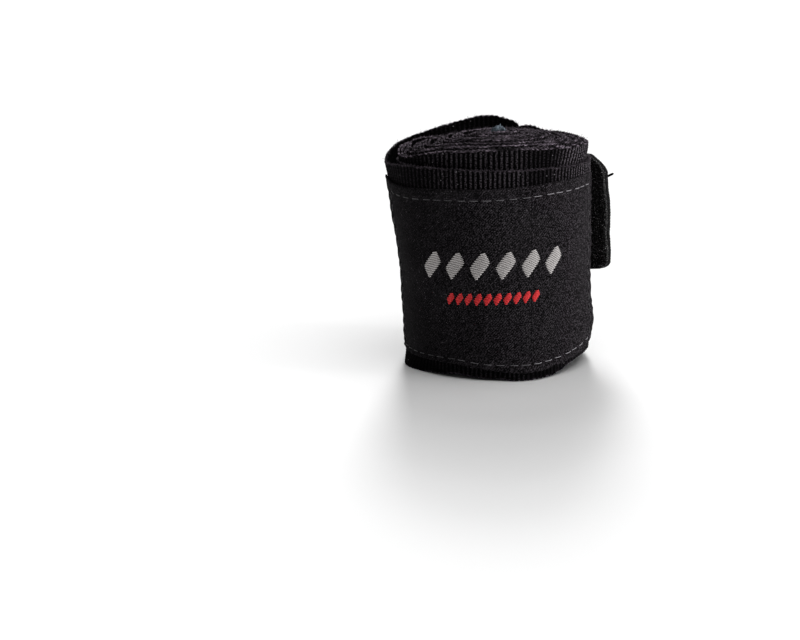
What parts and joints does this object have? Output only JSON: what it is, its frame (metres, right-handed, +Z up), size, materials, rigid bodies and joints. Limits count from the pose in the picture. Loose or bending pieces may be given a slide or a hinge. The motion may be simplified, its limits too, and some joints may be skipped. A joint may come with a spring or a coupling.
{
  "type": "rolled boxing hand wrap",
  "caption": "Elastic woven hand wrap wound into a telescoped roll, with a sewn cloth label on its outer lap and a hook-and-loop tab that closes it at the back.",
  "frame": {"origin": "middle of the bounding box at the surface it stands on", "axes": "+Z up along the roll's axis, -Y the labelled front, +X to the right of the label, where the tab's free end stands off"},
  "size_m": [0.0516, 0.0498, 0.0587],
  "materials": {
    "web": "matt ribbed elastic web, fuzzy cut edges",
    "label": "smooth twill with a soft satin sheen",
    "grey_thread": "fine twisted sewing thread",
    "black_thread": "fine twisted sewing thread",
    "loop_tape": "fuzzy loop pile",
    "hook_tape": "dense nylon hooks on a woven ground",
    "tag": "blue-grey satin ribbon"
  },
  "bodies": {
    "roll": {"web_roll": "web", "thumb_loop": "web", "loop_bar_tack": "black_thread", "size_tag": "tag", "loop_patch": "loop_tape"},
    "lap_1": {"web_lap_1": "web", "label_panel_1": "label", "label_seam_top_1": "grey_thread", "label_seam_bottom_1": "grey_thread", "label_seam_right": "grey_thread"},
    "lap_2": {"web_lap_2": "web", "label_panel_2": "label", "label_seam_top_2": "grey_thread", "label_seam_bottom_2": "grey_thread"},
    "lap_3": {"web_lap_3": "web", "label_panel_3": "label", "label_seam_top_3": "grey_thread", "label_seam_bottom_3": "grey_thread"},
    "lap_4": {"web_lap_4": "web", "label_panel_4": "label", "label_seam_top_4": "grey_thread", "label_seam_bottom_4": "grey_thread", "label_seam_left": "grey_thread"},
    "back_1": {"web_lap_5": "web", "hook_tape_1": "hook_tape", "tab_seam_top_1": "black_thread", "tab_seam_bottom_1": "black_thread"},
    "back_2": {"web_lap_6": "web", "hook_tape_2": "hook_tape", "tab_seam_top_2": "black_thread", "tab_seam_bottom_2": "black_thread"},
    "tab": {"web_lap_7": "web", "hook_tape_3": "hook_tape", "tab_seam_top_3": "black_thread", "tab_seam_bottom_3": "black_thread", "tab_backing": "loop_tape", "tab_joint_seam": "black_thread"}
  },
  "joints": [
    {"name": "unroll_1", "type": "hinge", "parent": "roll", "child": "lap_1", "pos_m": [0.02166, -0.0023, 0.025], "axis": [0, 0, 1], "range_deg": [0, 45]},
    {"name": "unroll_2", "type": "hinge", "parent": "lap_1", "child": "lap_2", "pos_m": [0.0138, -0.01894, 0.025], "axis": [0, 0, 1], "range_deg": [0, 45]},
    {"name": "unroll_3", "type": "hinge", "parent": "lap_2", "child": "lap_3", "pos_m": [-0.00359, -0.02518, 0.025], "axis": [0, 0, 1], "range_deg": [0, 45]},
    {"name": "unroll_4", "type": "hinge", "parent": "lap_3", "child": "lap_4", "pos_m": [-0.02034, -0.01727, 0.025], "axis": [0, 0, 1], "range_deg": [0, 45]},
    {"name": "unroll_5", "type": "hinge", "parent": "lap_4", "child": "back_1", "pos_m": [-0.02692, 0.00025, 0.025], "axis": [0, 0, 1], "range_deg": [0, 45]},
    {"name": "unroll_6", "type": "hinge", "parent": "back_1", "child": "back_2", "pos_m": [-0.01979, 0.01836, 0.025], "axis": [0, 0, 1], "range_deg": [0, 45]},
    {"name": "unroll_7", "type": "hinge", "parent": "back_2", "child": "tab", "pos_m": [-0.00095, 0.02511, 0.025], "axis": [0, 0, 1], "range_deg": [0, 45]}
  ],
  "couplings": [
    {"joint": "unroll_2", "follows": "unroll_1", "ratio": 1},
    {"joint": "unroll_3", "follows": "unroll_1", "ratio": 1},
    {"joint": "unroll_4", "follows": "unroll_1", "ratio": 1},
    {"joint": "unroll_5", "follows": "unroll_1", "ratio": 1},
    {"joint": "unroll_6", "follows": "unroll_1", "ratio": 1},
    {"joint": "unroll_7", "follows": "unroll_1", "ratio": 1}
  ]
}
